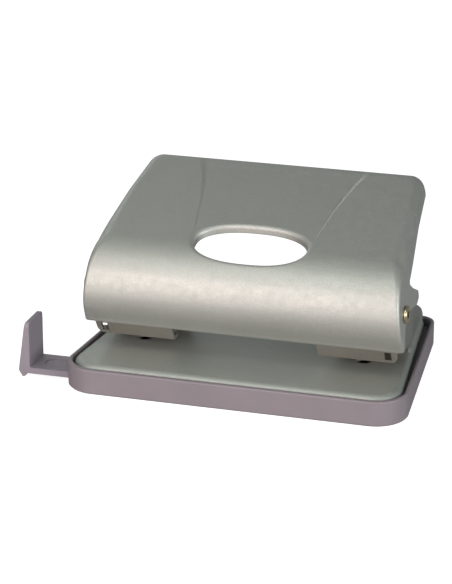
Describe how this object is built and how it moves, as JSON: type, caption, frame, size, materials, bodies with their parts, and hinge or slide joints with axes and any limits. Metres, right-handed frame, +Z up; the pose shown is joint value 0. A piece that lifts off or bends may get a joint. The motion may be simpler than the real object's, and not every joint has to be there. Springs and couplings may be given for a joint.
{
  "type": "desk paper punch",
  "caption": "Desk paper punch for filing holes: sprung steel lever with an oval grip hole over a plate, guided punch pins, a sliding paper guide and a chip tray.",
  "frame": {"origin": "centre of the chip tray's flat underside, where the punch stands on the desk", "axes": "+X to the right along the row of holes, +Y from the paper's side to the lever's free end, +Z up"},
  "size_m": [0.1396, 0.085, 0.065],
  "materials": {
    "lever_paint": "satin metallic",
    "plate_paint": "satin metallic",
    "tray_plastic": "fine matt",
    "guide_plastic": "fine matt",
    "zinc_steel": "zinc plated",
    "hardened_steel": "ground and oiled",
    "spring_steel": "drawn wire",
    "rivet_brass": "rolled"
  },
  "bodies": {
    "tray": {"chip_tray": "tray_plastic"},
    "guide": {"paper_guide": "guide_plastic"},
    "frame": {"base_plate": "plate_paint", "bracket_rivets": "zinc_steel", "punch_bracket_left": "zinc_steel", "punch_bracket_right": "zinc_steel", "pivot_rivet_left": "rivet_brass", "pivot_rivet_right": "rivet_brass", "pivot_washer_left": "zinc_steel", "pivot_washer_right": "zinc_steel", "return_spring_left": "spring_steel", "return_spring_right": "spring_steel"},
    "lever": {"handle": "lever_paint", "press_plate_left": "zinc_steel", "press_plate_right": "zinc_steel"},
    "pin_left": {"punch_pin_left": "hardened_steel", "pin_clip_left": "spring_steel", "spring_washer_left": "zinc_steel"},
    "pin_right": {"punch_pin_right": "hardened_steel", "pin_clip_right": "spring_steel", "spring_washer_right": "zinc_steel"}
  },
  "joints": [
    {"name": "guide_slide", "type": "slide", "parent": "tray", "child": "guide", "axis": [-1, 0, 0], "range_m": [-0.0115, 0.0738]},
    {"name": "tray_release", "type": "slide", "parent": "tray", "child": "frame", "axis": [0, 0, 1], "range_m": [0, 0.02]},
    {"name": "lever_swing", "type": "hinge", "parent": "frame", "child": "lever", "pos_m": [0, -0.0205, 0.033], "axis": [-1, 0, 0], "range_deg": [0, 32.08], "stiffness_Nm_per_rad": 0.288, "springref_deg": -23.26},
    {"name": "pin_left_slide", "type": "slide", "parent": "frame", "child": "pin_left", "axis": [0, 0, -1], "range_m": [0, 0.0069], "deforming": ["return_spring_left"]},
    {"name": "pin_right_slide", "type": "slide", "parent": "frame", "child": "pin_right", "axis": [0, 0, -1], "range_m": [0, 0.0069], "deforming": ["return_spring_right"]}
  ],
  "couplings": [
    {"joint": "pin_left_slide", "follows": "lever_swing", "m_per_rad": 0.01232},
    {"joint": "pin_right_slide", "follows": "lever_swing", "m_per_rad": 0.01232}
  ]
}
